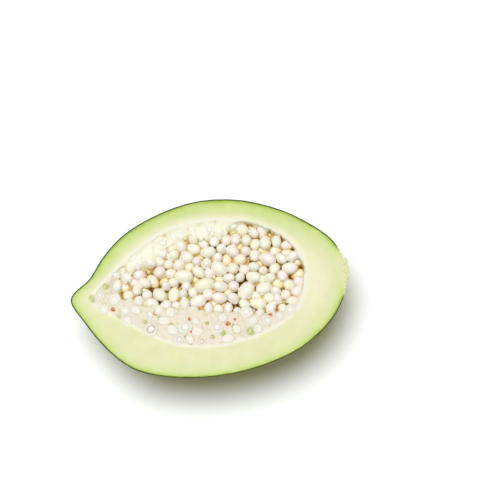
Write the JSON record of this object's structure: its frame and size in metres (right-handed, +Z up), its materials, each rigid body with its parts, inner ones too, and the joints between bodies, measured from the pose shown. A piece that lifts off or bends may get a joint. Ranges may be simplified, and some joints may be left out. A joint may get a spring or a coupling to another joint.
{
  "type": "halved papaya",
  "caption": "Green papaya cut in half lengthwise, lying on its ridged back with the pale flesh and the seed-filled cavity facing up.",
  "frame": {"origin": "on the surface that the half lies on, under the middle of its box", "axes": "+X along the fruit from the pointed blossom tip to the stem end, +Z up out of the cut face, +Y to the far side, where the flesh is thinner"},
  "size_m": [0.1508, 0.0976, 0.0463],
  "materials": {
    "skin": "dark green waxy peel with paler bloom on the ridges",
    "flesh": "freshly cut moist flesh, green near the peel and cream near the seeds",
    "pulp": "moist cream pulp, amber brown in its depths",
    "seed": "smooth ivory seed coat with a wet gloss"
  },
  "bodies": {
    "root": {"fruit_half": "flesh", "seed_mass": "pulp", "seed_01": "seed", "seed_02": "seed", "seed_03": "seed", "seed_04": "seed", "seed_05": "seed", "seed_06": "seed", "seed_07": "seed", "seed_08": "seed", "seed_09": "seed", "seed_10": "seed", "seed_11": "seed", "seed_12": "seed", "seed_13": "seed", "seed_14": "seed", "seed_15": "seed", "seed_16": "seed", "seed_17": "seed", "seed_18": "seed", "seed_19": "seed", "seed_20": "seed", "seed_21": "seed", "seed_22": "seed", "seed_23": "seed", "seed_24": "seed", "seed_25": "seed", "seed_26": "seed", "seed_27": "seed", "seed_28": "seed", "seed_29": "seed", "seed_30": "seed", "seed_31": "seed", "seed_32": "seed", "seed_33": "seed", "seed_34": "seed", "seed_35": "seed", "seed_36": "seed", "seed_37": "seed", "seed_38": "seed", "seed_39": "seed", "seed_40": "seed", "seed_41": "seed", "seed_42": "seed", "seed_43": "seed", "seed_44": "seed", "seed_45": "seed", "seed_46": "seed", "seed_47": "seed", "seed_48": "seed", "seed_49": "seed", "seed_50": "seed", "seed_51": "seed", "seed_52": "seed", "seed_53": "seed", "seed_54": "seed", "seed_55": "seed", "seed_56": "seed"}
  },
  "joints": []
}
